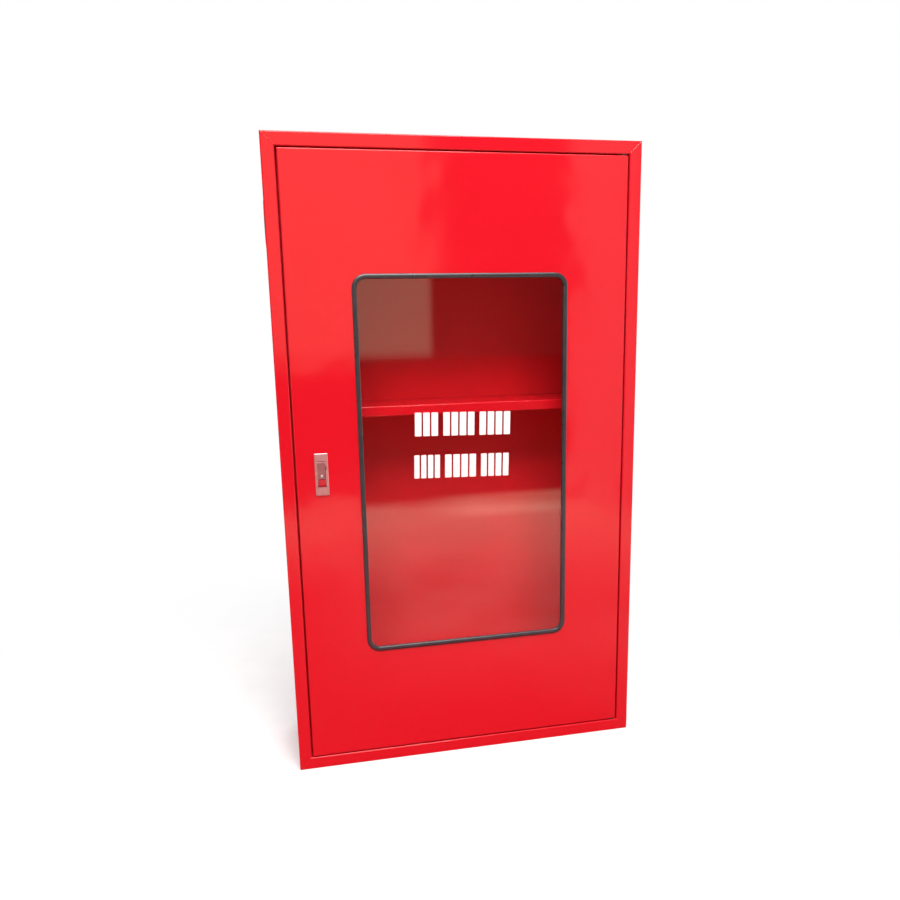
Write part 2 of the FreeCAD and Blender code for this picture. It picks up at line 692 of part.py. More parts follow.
def build_bolt():
    """A flat bolt with a bevelled nose and a sloped slot, which the lever's arm draws back as it drops."""
    rear = BOLT_V + BOLT_THICK
    plate = latch_box(-16, BOLT_TAIL, BOLT_V, rear, BOLT_LOW, BOLT_HIGH)
    nose = latch_box(NOSE_TIP, -15, BOLT_V, rear, NOSE_LOW, NOSE_HIGH)
    bevel = [latch_point(NOSE_TIP - 1, rear + 1, 0), latch_point(NOSE_TIP + 8, rear + 0.5, 0),
             latch_point(NOSE_TIP - 1, BOLT_V + 1.4, 0)]
    bolt = join([plate, nose]).cut(prism(bevel, V(0, 0, BOLT_HIGH)))
    swing = math.radians(LEVER_ANGLE)
    half = ARM_HALF + BOLT_CLEAR
    rest_high = LEVER_PIN_W + half
    rest_low = LEVER_PIN_W - half
    deep = LEVER_PIN_W - ARM_REACH * math.sin(swing) - half
    shallow = LEVER_PIN_W - math.tan(swing) * (BOLT_V - LEVER_PIN_V) + half
    slot = [(half, rest_high), (-half, rest_high), (-half - BOLT_TRAVEL, shallow),
            (-half - BOLT_TRAVEL, deep), (half - BOLT_TRAVEL, deep), (half, rest_low)]
    save("latch_bolt", bolt.cut(latch_prism(slot, BOLT_V - 1, rear + 1)))
    middle = (NOSE_LOW + NOSE_HIGH) / 2 + 1
    start = latch_point(BOLT_TAIL + 0.4, (BOLT_V + rear) / 2, middle)
    save("bolt_spring", spring(1.6, 0.6, 2.0, 6, start, X_AXIS))


def build_latch_fixings():
    """The rear cover over the bolt, the two clamps that hold the latch to the door, and their screws."""
    half_body = LATCH_BODY_W / 2
    back = COVER_V + SHEET
    cover = latch_box(-half_body, COVER_END, COVER_V, back, COVER_LOW, LATCH_BODY_H / 2)
    lug = latch_box(COVER_END - SHEET, COVER_END, BOLT_V, back, NOSE_LOW + 5, NOSE_HIGH - 3)
    cover = join([cover, lug])
    for w in (SCREW_TOP, SCREW_MIDDLE):
        cover = cover.cut(latch_rod(0, COVER_V - 1, w, SCREW_R, 4, Y_AXIS))
    save("latch_cover", cover)

    half = SHEET / 2
    clamps = []
    for w, v, way in ((SCREW_TOP, back, 1), (SCREW_BOTTOM, LATCH_REAR, -1)):
        u = -CLAMP_W / 2
        line = [latch_point(u, v + half, w - way * 4), latch_point(u, v + half, w + way * CLAMP_STEP),
                latch_point(u, SHEET + half, w + way * CLAMP_STEP),
                latch_point(u, SHEET + half, w + way * (CLAMP_STEP + CLAMP_FOOT))]
        clamp = folded_sheet(line, V(CLAMP_W, 0, 0), SHEET, 0.8)
        clamps.append(clamp.cut(latch_rod(0, v - 1, w, SCREW_R, 4, Y_AXIS)))
    save("latch_clamps", group(clamps))

    screws = []
    for v, w, layers in SCREW_PLACES:
        seat = v + layers * SHEET
        screw = pan_screw(0, 0, 0, SCREW_R, seat - v + 5)
        screw.Placement = FreeCAD.Placement(latch_point(0, seat, w), FreeCAD.Rotation(Z_AXIS, Y_AXIS))
        screws.append(screw)
    save("latch_screws", group(screws))


os.makedirs("parts", exist_ok=True)
build_walls()
build_back()
build_grommets()
build_shelf()
build_pivots()
build_bumpers()
build_door_skin()
build_stiffeners()
build_window()
build_latch_housing()
build_lever()
build_button()
build_bolt()
build_latch_fixings()
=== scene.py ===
"""Looks for the standpipe cabinet: enamel, rubber, glass, plated metal, and the pieces too fine for CAD.

Metres, in the frame's own axes: +Z up, +X to the right of someone facing the door, the door on the -Y side.
"""

import json
import math

import bpy
from mathutils import Euler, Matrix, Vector, noise


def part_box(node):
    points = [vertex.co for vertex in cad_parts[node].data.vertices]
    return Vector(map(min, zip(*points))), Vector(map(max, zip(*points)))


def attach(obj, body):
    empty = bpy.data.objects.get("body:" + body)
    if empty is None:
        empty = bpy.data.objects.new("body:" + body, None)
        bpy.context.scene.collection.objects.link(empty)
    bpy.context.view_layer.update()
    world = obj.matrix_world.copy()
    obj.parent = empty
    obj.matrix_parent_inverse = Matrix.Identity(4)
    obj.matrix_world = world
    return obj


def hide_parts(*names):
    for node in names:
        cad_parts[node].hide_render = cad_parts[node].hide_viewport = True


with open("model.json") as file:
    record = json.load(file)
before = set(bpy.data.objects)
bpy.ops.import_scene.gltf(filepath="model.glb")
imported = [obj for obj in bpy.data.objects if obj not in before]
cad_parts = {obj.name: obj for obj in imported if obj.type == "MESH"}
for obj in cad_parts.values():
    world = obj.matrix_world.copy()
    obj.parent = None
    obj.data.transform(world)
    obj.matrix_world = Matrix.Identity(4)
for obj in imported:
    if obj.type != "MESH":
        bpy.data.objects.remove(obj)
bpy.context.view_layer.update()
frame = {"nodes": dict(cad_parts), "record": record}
MM = 0.001

# ---------------------------------------------------------------- places, all read from the frame
FACE_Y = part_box("door_skin")[0].y
LEFT_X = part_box("left_side_panel")[0].x
RIGHT_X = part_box("right_side_panel")[1].x
TOP_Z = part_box("left_side_panel")[1].z
BACK_LOW, BACK_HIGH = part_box("back_panel")
GASKET_LOW, GASKET_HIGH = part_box("window_gasket")
GLASS_BACK_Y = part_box("window_glass")[1].y
FLANGE = 24 * MM


# ---------------------------------------------------------------- node materials
def math_node(tree, operation, *values):
    """A sum on sockets and plain numbers."""
    node = tree.nodes.new("ShaderNodeMath")
    node.operation = operation
    for socket, value in zip(node.inputs, values):
        if isinstance(value, (int, float)):
            socket.default_value = value
        else:
            tree.links.new(value, socket)
    return node.outputs[0]


def seen_directly(tree):
    """One for rays from the camera and for those that only came through glass, zero for all others."""
    path = tree.nodes.new("ShaderNodeLightPath")
    turns = math_node(tree, "ADD", path.outputs["Glossy Depth"], path.outputs["Diffuse Depth"])
    straight = math_node(tree, "LESS_THAN", turns, 0.5)
    through = math_node(tree, "MULTIPLY", path.outputs["Is Transmission Ray"], straight)
    return math_node(tree, "MAXIMUM", path.outputs["Is Camera Ray"], through)


class Look:
    """A node material with one Principled shader, and short calls that add nodes to it."""

    def __init__(self, name):
        self.material = bpy.data.materials.new(name)
        self.material.use_nodes = True
        self.tree = self.material.node_tree
        self.shader = self.tree.nodes["Principled BSDF"]
        self.output = self.tree.nodes["Material Output"]
        self.place = self.add("ShaderNodeTexCoord").outputs["Object"]
        self.normal = None

    def add(self, kind, **settings):
        node = self.tree.nodes.new(kind)
        for key, value in settings.items():
            setattr(node, key, value)
        return node

    def link(self, source, target):
        self.tree.links.new(source, target)

    def set(self, **values):
        for key, value in values.items():
            self.shader.inputs[key.replace("_", " ")].default_value = value

    def stretched(self, scale):
        mapping = self.add("ShaderNodeMapping")
        mapping.inputs["Scale"].default_value = scale
        self.link(self.place, mapping.inputs["Vector"])
        return mapping.outputs["Vector"]

    def noise(self, scale, detail=2.0, rough=0.5, at=None):
        node = self.add("ShaderNodeTexNoise")
        node.inputs["Scale"].default_value = scale
        node.inputs["Detail"].default_value = detail
        node.inputs["Roughness"].default_value = rough
        self.link(at or self.place, node.inputs["Vector"])
        return node.outputs["Fac"]

    def ranged(self, value, low, high, start=0.3, end=0.7):
        node = self.add("ShaderNodeMapRange")
        self.link(value, node.inputs["Value"])
        for key, number in (("From Min", start), ("From Max", end), ("To Min", low), ("To Max", high)):
            node.inputs[key].default_value = number
        return node.outputs["Result"]

    def math(self, operation, *values):
        return math_node(self.tree, operation, *values)

    def blend(self, factor, first, second):
        """A number that goes from the first to the second as the factor goes from 0 to 1."""
        node = self.add("ShaderNodeMix", data_type="FLOAT")
        self.link(factor, node.inputs[0])
        for socket, value in zip(node.inputs[2:4], (first, second)):
            if isinstance(value, (int, float)):
                socket.default_value = value
            else:
                self.link(value, socket)
        return node.outputs[0]

    def mixed(self, factor, first, second):
        node = self.add("ShaderNodeMix", data_type="RGBA")
        self.link(factor, node.inputs["Factor"])
        for socket, colour in ((node.inputs[6], first), (node.inputs[7], second)):
            if isinstance(colour, tuple):
                socket.default_value = (*colour, 1.0)
            else:
                self.link(colour, socket)
        return node.outputs[2]

    def end_with(self, factor, first, second):
        """The surface goes from the first shader to the second as the factor goes from 0 to 1."""
        mix = self.add("ShaderNodeMixShader")
        for socket, source in zip(mix.inputs, (factor, first, second)):
            self.link(source, socket)
        self.link(mix.outputs[0], self.output.inputs["Surface"])

    def colour(self, source):
        self.link(source, self.shader.inputs["Base Color"])

    def roughness(self, source):
        self.link(source, self.shader.inputs["Roughness"])

    def bump(self, height, distance, strength=1.0):
        node = self.add("ShaderNodeBump")
        node.inputs["Distance"].default_value = distance
        node.inputs["Strength"].default_value = strength
        self.link(height, node.inputs["Height"])
        if self.normal:
            self.link(self.normal, node.inputs["Normal"])
        self.normal = node.outputs["Normal"]
        self.link(self.normal, self.shader.inputs["Normal"])


RECESS_START = 3 * MM
RECESS_FULL = 9 * MM
OUTER_SKIN = 0.5 * MM


def recess(look):
    """One where the surface lies behind the flange and inside the outer walls: spray arrives dry there."""
    split = look.add("ShaderNodeSeparateXYZ")
    look.link(look.place, split.inputs[0])
    across = look.math("ABSOLUTE", split.outputs["X"])
    up = look.math("ABSOLUTE", look.math("SUBTRACT", split.outputs["Z"], TOP_Z / 2))
    behind = look.ranged(split.outputs["Y"], 0.0, 1.0, FACE_Y + RECESS_START, FACE_Y + RECESS_FULL)
    within = look.math("LESS_THAN", across, RIGHT_X - OUTER_SKIN)
    below = look.math("LESS_THAN", up, TOP_Z / 2 - OUTER_SKIN)
    in_front = look.math("LESS_THAN", split.outputs["Y"], BACK_HIGH.y - OUTER_SKIN)
    deep = look.math("MULTIPLY", behind, in_front)
    inside = look.math("MULTIPLY", within, below)
    return look.math("MULTIPLY", deep, inside)


DRY_ROUGHNESS = 0.72
MOTTLE_SHADE = 0.88
WAVE_SCALE = 2.6
RIPPLE_SCALE = 11.0
PEEL_SCALE = 240.0
PEEL_HEIGHT = 0.05 * MM


def enamel(name, light, deep, wave, ripple, gloss=(0.08, 0.15), dry=1.0, shine=0.5):
    """Red stoving enamel on thin sheet: orange peel, slow waves and ripples in the sheet, a faint mottle.

    gloss is the roughness of polished paint, dry is how far the paint in a recess loses that polish, and
    shine is how strongly it reflects.
    """
    look = Look(name)
    tone = look.ranged(look.noise(2.2, 3.0), 0.0, 1.0, 0.2, 0.8)
    mottle = look.ranged(look.noise(60.0, 3.0), 0.0, 0.3, 0.2, 0.8)
    base = look.mixed(tone, light, deep)
    look.colour(look.mixed(mottle, base, tuple(MOTTLE_SHADE * c for c in light)))
    polished = look.ranged(look.noise(7.0, 3.0), *gloss, 0.1, 0.9)
    hidden = look.math("MULTIPLY", recess(look), dry)
    look.roughness(look.blend(hidden, polished, DRY_ROUGHNESS))
    look.bump(look.noise(WAVE_SCALE, 1.0), wave)
    look.bump(look.noise(RIPPLE_SCALE, 1.0), ripple)
    look.bump(look.noise(PEEL_SCALE, 2.0), PEEL_HEIGHT, 0.4)
    look.set(Specular_IOR_Level=shine)
    return look.material


def rubber():
    """Black extruded rubber with a fine grain and a dusty bloom."""
    look = Look("black_rubber")
    bloom = look.ranged(look.noise(38.0, 5.0), 0.0, 1.0, 0.35, 0.75)
    look.colour(look.mixed(bloom, (0.017, 0.016, 0.021), (0.032, 0.029, 0.037)))
    look.roughness(look.ranged(look.noise(90.0, 3.0), 0.26, 0.40))
    look.bump(look.noise(900.0, 3.0), 0.04 * MM, 0.6)
    look.bump(look.noise(45.0, 2.0), 0.25 * MM, 0.5)
    look.set(Specular_IOR_Level=0.75)
    return look.material


def plated(name, first, second, rough_low, rough_high, stretch=(40.0, 40.0, 900.0)):
    """Plated metal with a faint brushed grain and clouded patches."""
    look = Look(name)
    cloud = look.ranged(look.noise(120.0, 4.0), 0.0, 1.0)
    look.colour(look.mixed(cloud, first, second))
    grain = look.noise(1.0, 3.0, at=look.stretched(stretch))
    look.roughness(look.ranged(grain, rough_low, rough_high))
    look.bump(grain, 0.01 * MM, 0.6)
    look.bump(look.noise(420.0, 3.0), 0.02 * MM, 0.4)
    look.set(Metallic=1.0)
    return look.material


def plastic(name, first, second, rough_low, rough_high):
    """Moulded plastic with a soft grain."""
    look = Look(name)
    look.colour(look.mixed(look.ranged(look.noise(140.0, 3.0), 0.0, 1.0), first, second))
    look.roughness(look.ranged(look.noise(310.0, 3.0), rough_low, rough_high))
    look.bump(look.noise(700.0, 2.0), 0.02 * MM, 0.5)
    return look.material


def glass():
    """Clear float glass with faint wiping marks. Light for what is behind it passes straight through."""
    look = Look("clear_glass")
    smear = look.noise(1.0, 5.0, 0.6, at=look.stretched((9.0, 9.0, 26.0)))
    look.colour(look.mixed(look.ranged(smear, 0.0, 1.0), (0.98, 0.985, 0.98), (0.96, 0.965, 0.96)))
    look.roughness(look.ranged(smear, 0.0, 0.012, 0.45, 0.8))
    look.bump(look.noise(2.4, 1.0), 0.25 * MM, 0.6)
    look.set(Transmission_Weight=1.0, IOR=1.5)
    clear = look.add("ShaderNodeBsdfTransparent")
    clear.inputs["Color"].default_value = (0.96, 0.96, 0.96, 1.0)
    path = look.add("ShaderNodeLightPath")
    lighting = look.math("MAXIMUM", path.outputs["Is Shadow Ray"], path.outputs["Is Diffuse Ray"])
    look.end_with(lighting, look.shader.outputs[0], clear.outputs[0])
    return look.material


# ---------------------------------------------------------------- the finishes
RED_LIGHT = (0.690, 0.0075, 0.0175)
RED_DEEP = (0.655, 0.0062, 0.0155)
# The inner red is the same enamel as the box, made far lighter: painted light on the back panel inside the
# cabinet.
INNER_RED_PAINTED_LIGHT = (0.940, 0.0085, 0.0180)
INNER_RED_DEEP_PAINTED_LIGHT = (0.890, 0.0070, 0.0160)
# The shelf's red is the same enamel made a little lighter than the box: painted light on the shelf.
SHELF_RED_PAINTED_LIGHT = (0.780, 0.0080, 0.0175)
SHELF_RED_DEEP_PAINTED_LIGHT = (0.735, 0.0068, 0.0155)

DOOR_PAINT = enamel("door_enamel", RED_LIGHT, RED_DEEP, wave=9.0 * MM, ripple=1.5 * MM)
BOX_PAINT = enamel("box_enamel", RED_LIGHT, RED_DEEP, wave=3.5 * MM, ripple=0.5 * MM)
# The back panel wears the lighter inner red, which is painted light.
BACK_PAINT_WITH_PAINTED_LIGHT = enamel("back_enamel_painted_light", INNER_RED_PAINTED_LIGHT, INNER_RED_DEEP_PAINTED_LIGHT, wave=3.0 * MM, ripple=0.4 * MM,
                    gloss=(0.34, 0.46), dry=0.3, shine=0.2)
SHELF_PAINT_WITH_PAINTED_LIGHT = enamel("shelf_enamel_painted_light", SHELF_RED_PAINTED_LIGHT, SHELF_RED_DEEP_PAINTED_LIGHT, wave=2.0 * MM, ripple=0.4 * MM,
                     gloss=(0.12, 0.20), dry=0.0, shine=0.4)
RUBBER = rubber()
GLASS = glass()
# The latch nickel is tinted pink: a painted reflection of the red paint around it.
NICKEL_WITH_PAINTED_REFLECTION = plated("satin_nickel", (0.90, 0.475, 0.49), (0.75, 0.40, 0.425), 0.38, 0.50)
# The lever's nickel is a darker pink copy of the plate's: a painted reflection of dark surroundings and of
# the red paint.
LEVER_METAL_PAINTED_REFLECTION = plated("lever_nickel_painted_reflection", (0.63, 0.29, 0.31), (0.53, 0.245, 0.265), 0.36, 0.48)
CHROME = plated("bright_chrome", (0.95, 0.93, 0.93), (0.90, 0.88, 0.88), 0.30, 0.40)
ZINC = plated("zinc_steel", (0.62, 0.62, 0.60), (0.50, 0.52, 0.54), 0.28, 0.48)
BUTTON = plastic("red_button", (0.46, 0.008, 0.018), (0.38, 0.007, 0.014), 0.26, 0.38)
VINYL = plastic("white_vinyl", (0.88, 0.88, 0.88), (0.80, 0.80, 0.81), 0.42, 0.60)
NYLON = plastic("black_nylon", (0.030, 0.030, 0.032), (0.022, 0.022, 0.024), 0.40, 0.55)

BY_SLOT = {
    "red_paint": BOX_PAINT, "black_rubber": RUBBER, "clear_glass": GLASS, "white_vinyl": VINYL,
    "satin_nickel": NICKEL_WITH_PAINTED_REFLECTION, "bright_chrome": CHROME, "red_button": BUTTON, "zinc_steel": ZINC,
    "black_nylon": NYLON,
}

BY_NODE = {
    "door_skin": DOOR_PAINT, "back_panel": BACK_PAINT_WITH_PAINTED_LIGHT, "shelf": SHELF_PAINT_WITH_PAINTED_LIGHT, "latch_lever": LEVER_METAL_PAINTED_REFLECTION,
}


def dress(obj, material):
    obj.data.materials.clear()
    obj.data.materials.append(material)


for part in frame["record"]["subparts"]:
    node = frame["nodes"][part["node"]]
    dress(node, BY_NODE.get(part["node"], BY_SLOT[part["material_slot"]]))


# ---------------------------------------------------------------- mesh helpers
def mesh_piece(name, vertices, faces, material, body):
    mesh = bpy.data.meshes.new(name)
    mesh.from_pydata([tuple(v) for v in vertices], [], faces)
    mesh.validate()
    mesh.update()
    mesh.polygons.foreach_set("use_smooth", [True] * len(mesh.polygons))
    piece = bpy.data.objects.new(name, mesh)
    bpy.context.scene.collection.objects.link(piece)
    mesh.materials.append(material)
    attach(piece, body)
    return piece


def swept(rings, closed):
    """Vertices and faces of a skin over rings of points, each ring closed on itself."""
    count = len(rings[0])
    vertices = [p for ring in rings for p in ring]
    faces = []
    spans = len(rings) if closed else len(rings) - 1
    for i in range(spans):
        a = i * count
        b = (i + 1) % len(rings) * count
        for k in range(count):
            n = (k + 1) % count
            faces.append((a + k, a + n, b + n, b + k))
    if not closed:
        faces.append(tuple(range(count))[::-1])
        faces.append(tuple(range((len(rings) - 1) * count, len(rings) * count)))
    return vertices, faces


def wobble(point, size, seed):
    """A smooth number between about -1 and 1 that changes over a distance of size."""
    return noise.noise(Vector(point) / size + Vector((seed, 2.0 * seed, 3.0 * seed)))


# ---------------------------------------------------------------- the window gasket
LIP_OUT = 4.0 * MM
LIP_IN = 5.0 * MM
WEB = 1.2 * MM
SHEET = 1.2 * MM
CUT_RADIUS = 22 * MM
GASKET_STEP = 4 * MM
CROWN_FULL = 0.97
BACK_FULL = 0.90
BACK_REACH = 0.85 * LIP_OUT
ROUNDNESS = 0.72


def window_path(step):
    """Points and outward directions round the cut-out's edge, evenly spaced, from the middle of the top."""
    low = GASKET_LOW + Vector((LIP_OUT, 0, LIP_OUT))
    high = GASKET_HIGH - Vector((LIP_OUT, 0, LIP_OUT))
    half_w = (high.x - low.x) / 2 - CUT_RADIUS
    half_h = (high.z - low.z) / 2 - CUT_RADIUS
    middle = (low + high) / 2
    stations = []

    def line(start, end, out):
        count = max(2, round((end - start).length / step))
        stations.extend((start.lerp(end, i / count), out) for i in range(count))

    def arc(cx, cz, first):
        count = max(8, round(CUT_RADIUS * math.pi / 2 / step))
        for i in range(count):
            angle = math.radians(first - 90 * i / count)
            out = Vector((math.cos(angle), 0, math.sin(angle)))
            stations.append((Vector((cx, 0, cz)) + out * CUT_RADIUS, out))

    x0, x1 = middle.x - half_w, middle.x + half_w
    z0, z1 = middle.z - half_h, middle.z + half_h
    up, right = Vector((0, 0, 1)), Vector((1, 0, 0))
    r = CUT_RADIUS
    line(Vector((middle.x, 0, z1 + r)), Vector((x1, 0, z1 + r)), up)
    arc(x1, z1, 90)
    line(Vector((x1 + r, 0, z1)), Vector((x1 + r, 0, z0)), right)
    arc(x1, z0, 0)
    line(Vector((x1, 0, z0 - r)), Vector((x0, 0, z0 - r)), -up)
    arc(x0, z0, -90)
    line(Vector((x0 - r, 0, z0)), Vector((x0 - r, 0, z1)), -right)
    arc(x0, z1, -180)
    line(Vector((x0, 0, z1 + r)), Vector((middle.x, 0, z1 + r)), up)
    return stations


def crown_points(first, last, base, height, count):
    """Half an oval from one lip to the other, standing on a base depth."""
    middle = (first + last) / 2
    reach = (last - first) / 2
    points = []
    for i in range(count + 1):
        angle = math.pi * i / count
        u = middle - reach * math.cos(angle)
        points.append((u, base + height * math.sin(angle) ** ROUNDNESS))
    return points


def build_gasket():
    """The rubber channel round the glass: an oval lip in front and one behind, with grooves between them."""
    proud = FACE_Y - GASKET_LOW.y
    glass_back = GLASS_BACK_Y - FACE_Y
    behind = GASKET_HIGH.y - FACE_Y - glass_back
    front = crown_points(LIP_OUT, -LIP_IN, 0.0, -CROWN_FULL * proud, 16)
    back = crown_points(-LIP_IN, BACK_REACH, glass_back, BACK_FULL * behind, 12)
    profile = front + [(-WEB, 0.0), (-WEB, glass_back)] + back
    profile += [(BACK_REACH, SHEET), (0.0, SHEET), (0.0, 0.0)]
    rings = []
    for point, out in window_path(GASKET_STEP):
        slow = wobble(point, 90 * MM, 1.0)
        quick = wobble(point, 22 * MM, 4.0)
        lean = 0.32 * MM * slow + 0.10 * MM * quick
        swell = 1.0 - 0.05 * abs(quick)
        ring = []
        for u, v in profile:
            in_front = v < -0.2 * MM
            shift = lean if in_front else 0.0
            depth = v * swell if in_front else v
            if u > 0 and in_front:
                shift = min(shift, 0.0)
            ring.append(point + out * (u + shift) + Vector((0, FACE_Y + depth, 0)))
        rings.append(ring)
    vertices, faces = swept(rings, True)
    gasket = mesh_piece("window_gasket_rubber", vertices, faces, RUBBER, "door")
    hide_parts("window_gasket")
    return gasket


# ---------------------------------------------------------------- weld beads on the flange's mitres
BEAD_RADIUS = 0.75 * MM
BEAD_SUNK = 0.5 * MM
BEAD_FLATNESS = 1.5
BEAD_SIDES = 8
BEAD_STEPS = 26
BEAD_OUTER_END = 2.0 * MM
BEAD_INNER_END = FLANGE - 1.2 * MM


def bead_rings(start, end):
    """Rings of points along one weld, its width and its line both a little uneven."""
    along = (end - start).normalized()
    across = along.cross(Vector((0, 1, 0))).normalized()
    rings = []
    for i in range(BEAD_STEPS + 1):
        centre = start.lerp(end, i / BEAD_STEPS)
        size = BEAD_RADIUS * (1.0 + 0.22 * wobble(centre, 2.5 * MM, 7.0))
        side = across * (0.25 * MM * wobble(centre, 5 * MM, 9.0))
        ring = []
        for k in range(BEAD_SIDES):
            angle = 2 * math.pi * k / BEAD_SIDES
            ring.append(centre + side + across * (size * BEAD_FLATNESS * math.cos(angle))
                        + Vector((0, -size * math.sin(angle), 0)))
        rings.append(ring)
    return rings


def build_mitre_beads():
    """A ground-down weld line across each corner of the face flange."""
    vertices = []
    faces = []
    for sx, x in ((1, LEFT_X), (-1, RIGHT_X)):
        for sz, z in ((1, 0.0), (-1, TOP_Z)):
            start, end = (Vector((x + sx * inward, FACE_Y + BEAD_SUNK, z + sz * inward))
                          for inward in (BEAD_OUTER_END, BEAD_INNER_END))
            more, skin = swept(bead_rings(start, end), False)
            offset = len(vertices)
            vertices += more
            faces += [tuple(index + offset for index in face) for face in skin]
    return mesh_piece("mitre_weld_beads", vertices, faces, BOX_PAINT, "cabinet")


# ---------------------------------------------------------------- spot welds
WELD_PITCH = 58 * MM
WELD_EDGE = 9 * MM
BEARER_WELDS = (0.16, 0.50, 0.84)
BEARER_DROP = 2 * MM
CRATER_SIDES = 14
CRATER_SECTION = ((3.1, 0.00), (2.7, 0.14), (2.2, 0.18), (1.6, 0.06), (0.7, 0.02))
CRATER_SUNK = 0.01
CRATER_OVAL = 0.10


def weld_places():
    """Where the electrodes pressed: a point on the outer face and the direction out of it."""
    places = []
    low = Vector((BACK_LOW.x + WELD_EDGE, 0, BACK_LOW.z + WELD_EDGE))
    high = Vector((BACK_HIGH.x - WELD_EDGE, 0, BACK_HIGH.z - WELD_EDGE))
    corners = [low, Vector((high.x, 0, low.z)), high, Vector((low.x, 0, high.z))]
    for start, end in zip(corners, corners[1:] + corners[:1]):
        count = round((end - start).length / WELD_PITCH)
        for i in range(count):
            along = start.lerp(end, i / count)
            places.append((Vector((along.x, BACK_HIGH.y, along.z)), Vector((0, 1, 0))))
    bearer_low, bearer_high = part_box("shelf_bearer_left")
    z = (bearer_low.z + bearer_high.z) / 2 - BEARER_DROP
    for x, out in ((LEFT_X, -1), (RIGHT_X, 1)):
        for share in BEARER_WELDS:
            y = bearer_low.y + (bearer_high.y - bearer_low.y) * share
            places.append((Vector((x, y, z)), Vector((out, 0, 0))))
    return places


def build_spot_welds():
    """Shallow craters with a raised lip under the paint, each a little off its line and out of round."""
    up = Vector((0, 0, 1))
    vertices = []
    faces = []
    for number, (place, out) in enumerate(weld_places()):
        across = out.cross(up)
        aside = 1.2 * MM * wobble(place, 31 * MM, 2.0)
        above = 1.0 * MM * wobble(place, 27 * MM, 5.0)
        place = place + across * aside + up * above
        first = len(vertices)
        for radius, height in CRATER_SECTION:
            for k in range(CRATER_SIDES):
                angle = 2 * math.pi * k / CRATER_SIDES
                size = radius * MM * (1.0 + CRATER_OVAL * math.sin(2 * angle + number))
                vertices.append(place + across * (size * math.cos(angle)) + up * (size * math.sin(angle))
                                + out * ((height - CRATER_SUNK) * MM))
        for ring in range(len(CRATER_SECTION) - 1):
            for k in range(CRATER_SIDES):
                a = first + ring * CRATER_SIDES
                n = (k + 1) % CRATER_SIDES
                faces.append((a + k, a + n, a + CRATER_SIDES + n, a + CRATER_SIDES + k))
        last = first + (len(CRATER_SECTION) - 1) * CRATER_SIDES
        faces.append(tuple(last + k for k in range(CRATER_SIDES)))
    return mesh_piece("spot_weld_marks", vertices, faces, BOX_PAINT, "cabinet")


build_gasket()
build_mitre_beads()
build_spot_welds()


# ---------------------------------------------------------------- camera, floor and light
CAMERA_PLACE = (-0.3236, -1.5302, 0.8671)
CAMERA_TURN = (78.533, 1.179, -11.766)
CAMERA_LENS = 30.757
CAMERA_SENSOR = 36.0
CAMERA_SHIFT = 0.0356


def build_camera():
    """The camera stands left of the door's middle, a little above it, and looks slightly down."""
    camera = bpy.data.cameras.new("camera")
    camera.sensor_width = CAMERA_SENSOR
    camera.lens = CAMERA_LENS
    camera.shift_y = CAMERA_SHIFT
    holder = bpy.data.objects.new("camera", camera)
    holder.location = CAMERA_PLACE
    holder.rotation_euler = Euler([math.radians(a) for a in CAMERA_TURN], "XYZ")
    bpy.context.scene.collection.objects.link(holder)
    bpy.context.scene.camera = holder


FLOOR_REACH = 20.0
FLOOR_PALE = (0.84, 0.84, 0.84)
FLOOR_PALE_DEEP = (0.81, 0.81, 0.81)
# Colours only bounced and mirrored light sees: painted shade near the object, earth, painted sunlit ground,
# painted dark surroundings.
FLOOR_PAINTED_SHADE = (0.52, 0.09, 0.10)
FLOOR_NEAR = (0.62, 0.38, 0.35)
FLOOR_PAINTED_SUNLIT = (0.86, 0.72, 0.58)
FLOOR_PAINTED_DARK_FAR = (0.05, 0.05, 0.05)
PATCH_SHADE = 0.62


